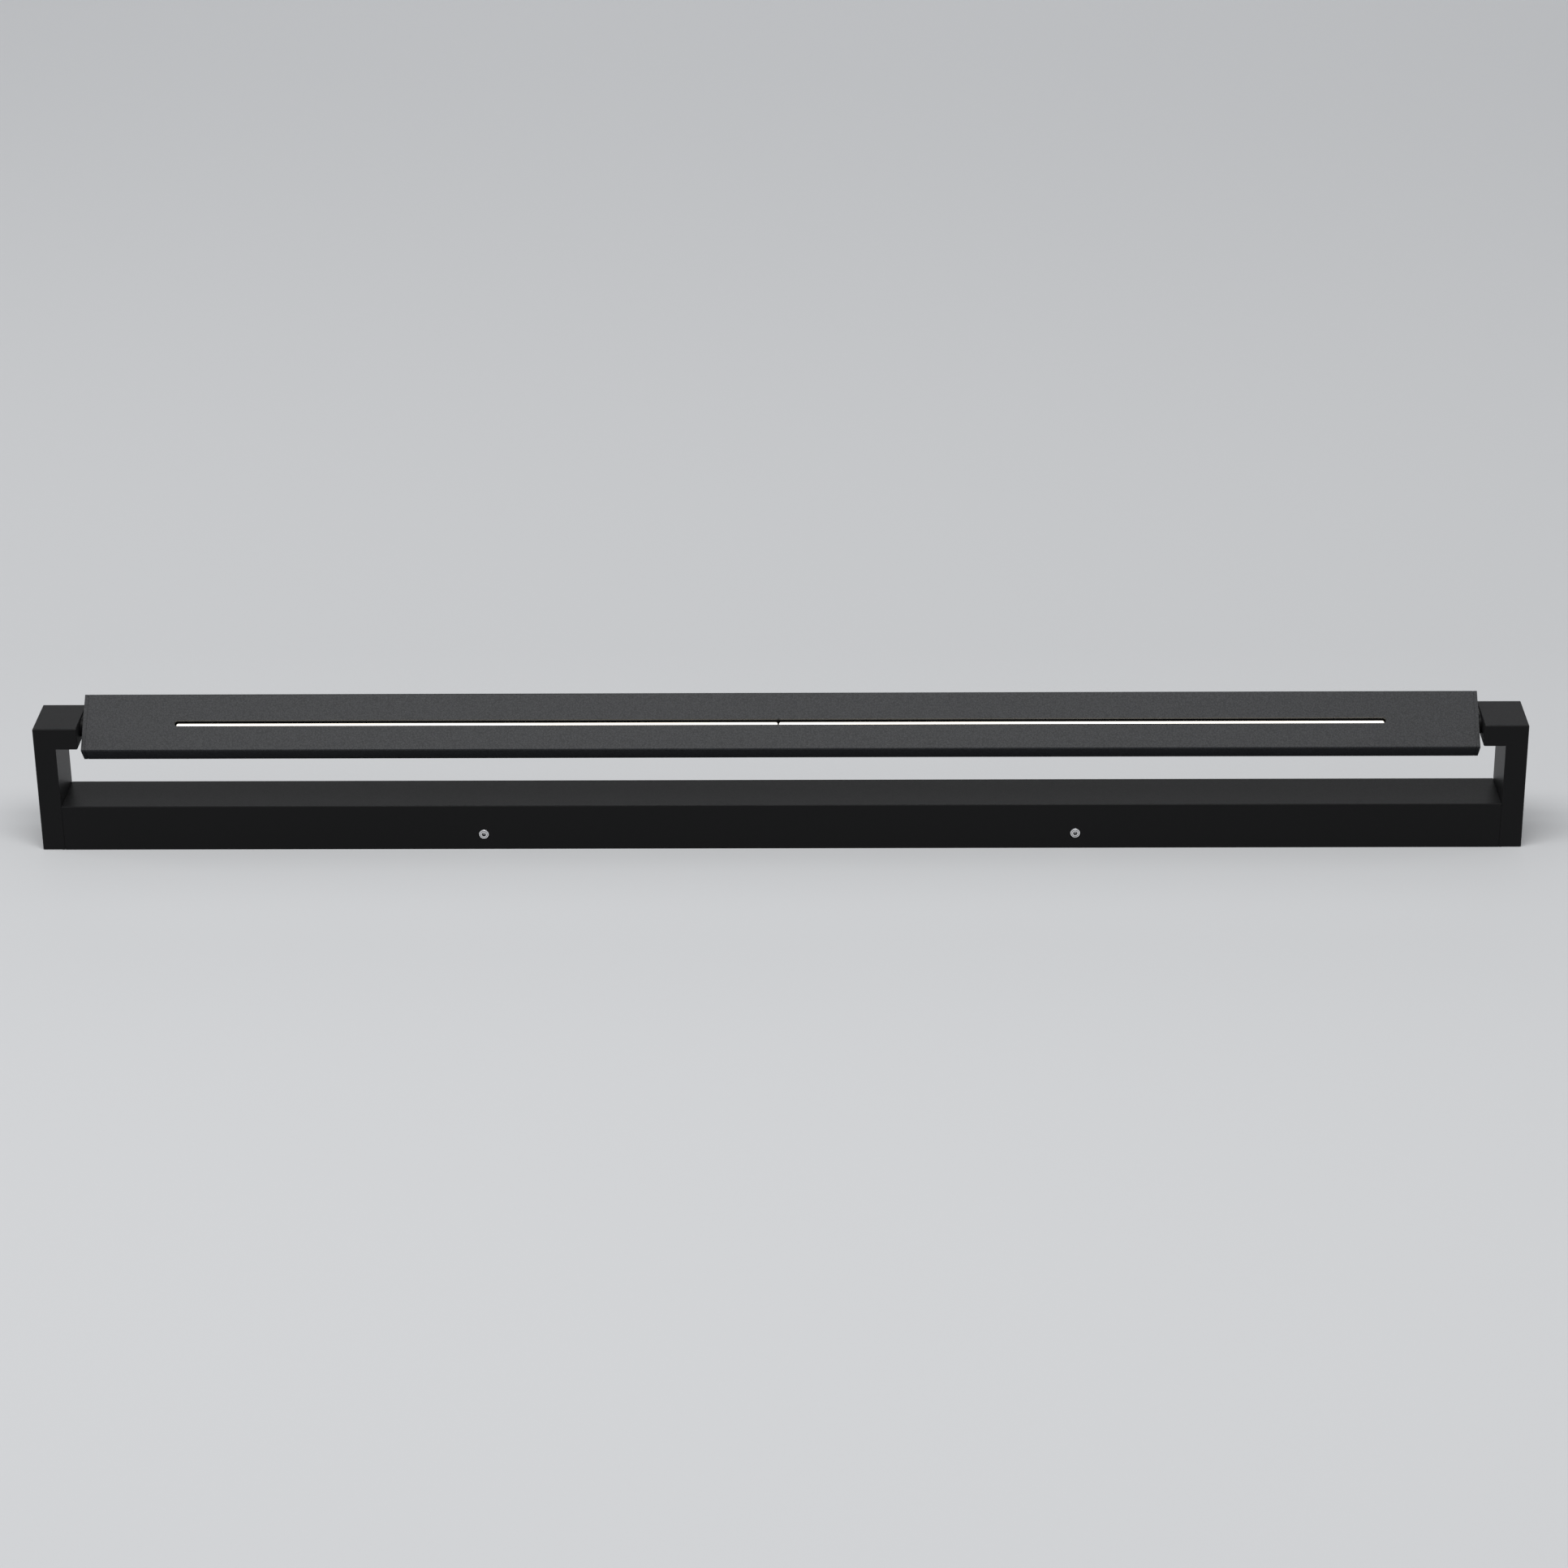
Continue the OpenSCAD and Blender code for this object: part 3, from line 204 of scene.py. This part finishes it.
def lit(name, colour, glow, strength):
    """Frosted plastic with light behind it: a little uneven, as over separate LEDs."""
    n = Nodes(name)
    frost = n.noise(2500.0)
    n.link(n.two_tone(frost, scaled(colour, 0.96), colour), n.shader.inputs["Base Color"])
    n.link(n.bump(frost, 8e-6), n.shader.inputs["Normal"])
    n.set(Roughness=0.5, Emission_Color=(*glow, 1.0), Emission_Strength=strength)
    return n.material


def make_materials():
    """One material for each slot of the record."""
    record = {m["slot"]: m for m in frame["record"]["materials"]}

    def colour(slot):
        return tuple(record[slot]["base_color"][:3])

    made = {
        "black_satin_paint": painted("black_satin_paint", (0.0052, 0.0052, 0.0055), 0.42,
                                     0.0005, 4e-6, specular=0.14),
        "black_sand_paint": painted("black_sand_paint", (0.0119, 0.0129, 0.0148), 0.47,
                                    0.0008, 4.5e-5, tone=0.45, sparkle=0.04, specular=0.27),
        "black_screws": metal("black_screws", (0.03, 0.03, 0.032), 0.38),
        "zinc_steel": metal("zinc_steel", colour("zinc_steel"), 0.34),
        # bright_steel has painted shade in its recesses, such as the screw sockets
        "bright_steel": metal("bright_steel", (0.80, 0.80, 0.81), 0.28, brush=(1, 1, 1),
                              shade_reach=0.0016),
        "spring_steel": metal("spring_steel", colour("spring_steel"), 0.42),
        "tinned_brass": metal("tinned_brass", colour("tinned_brass"), 0.33),
        "brass_nut": metal("brass_nut", colour("brass_nut"), 0.3),
        "green_steel": metal("green_steel", colour("green_steel"), 0.35),
        "lit_diffuser": lit("lit_diffuser", (0.95, 0.92, 0.86), (1.0, 0.93, 0.80), 1.25),
        "led_phosphor": lit("led_phosphor", (0.90, 0.72, 0.25), (1.0, 0.90, 0.70), 1.0),
    }
    made["black_nylon"] = plastic("black_nylon", (0.006, 0.006, 0.0062), 0.5, specular=0.15)
    coats = {"green_laminate": 0.6, "capacitor_sleeve": 0.4, "copper_winding": 0.5}
    rough = {"black_rubber": 0.7, "white_laminate": 0.4, "thermal_tape": 0.75}
    for slot in record:
        if slot not in made:
            made[slot] = plastic(slot, colour(slot), rough.get(slot, 0.5),
                                 coat=coats.get(slot, 0.0))
    return made


def dress(materials):
    """Gives every CAD node the material of its slot."""
    for name, obj in nodes.items():
        material = materials[slot_of[name]]
        own = obj.data.materials
        if not own:
            own.append(material)
        for k in range(len(own)):
            own[k] = material


# Floor and light -----------------------------------------------------------------------


def make_floor():
    """A pale seamless floor that curves up far behind the bar."""
    n = Nodes("studio_floor")
    away = n.add("ShaderNodeSeparateXYZ")
    n.link(n.place, away.inputs["Vector"])
    # Painted light: a little paler towards the back, where the paler colour stands in for more
    # light, and never quite even
    n.link(n.two_tone(n.spread(away.outputs["Y"], 0.0, 1.0, start=0.3, stop=2.1),
                      FLOOR_NEAR, FLOOR_FAR), n.shader.inputs["Base Color"])
    n.link(n.spread(n.noise(1.2), 0.8, 0.9), n.shader.inputs["Roughness"])
    n.set(Specular_IOR_Level=0.2)
    angles = [math.pi / 2 * k / CURVE_STEPS for k in range(1, CURVE_STEPS + 1)]
    outline = [(FLOOR_FRONT, 0.0), (FLOOR_BACK, 0.0)]
    outline += [(FLOOR_BACK + CURVE_RADIUS * math.sin(a), CURVE_RADIUS * (1 - math.cos(a)))
                for a in angles]
    outline.append((FLOOR_BACK + CURVE_RADIUS, CURVE_RISE + CURVE_RADIUS))
    verts = [(x, y, z) for y, z in outline for x in (-FLOOR_HALF, FLOOR_HALF)]
    faces = [(2 * k, 2 * k + 1, 2 * k + 3, 2 * k + 2) for k in range(len(outline) - 1)]
    mesh = bpy.data.meshes.new("floor")
    mesh.from_pydata(verts, [], faces)
    mesh.shade_smooth()
    mesh.materials.append(n.material)
    floor = bpy.data.objects.new("floor", mesh)
    bpy.context.scene.collection.objects.link(floor)


def softbox(name, place, aim, size, power):
    """A soft rectangular light at place that points at aim."""
    data = bpy.data.lights.new(name, "AREA")
    data.shape = "RECTANGLE"
    data.size, data.size_y = size
    data.energy = power
    light = bpy.data.objects.new(name, data)
    bpy.context.scene.collection.objects.link(light)
    light.location = place
    light.rotation_mode = "QUATERNION"
    light.rotation_quaternion = (Vector(aim) - Vector(place)).to_track_quat("-Z", "Y")


def make_light():
    world = bpy.data.worlds.new("studio")
    world.use_nodes = True
    sky = world.node_tree.nodes["Background"]
    sky.inputs["Color"].default_value = (*SKY_COLOUR, 1.0)
    sky.inputs["Strength"].default_value = SKY_STRENGTH
    bpy.context.scene.world = world
    bpy.context.scene.view_settings.view_transform = "Standard"
    for settings in SOFTBOXES:
        softbox(*settings)


make_camera()
dress(make_materials())
make_floor()
make_light()
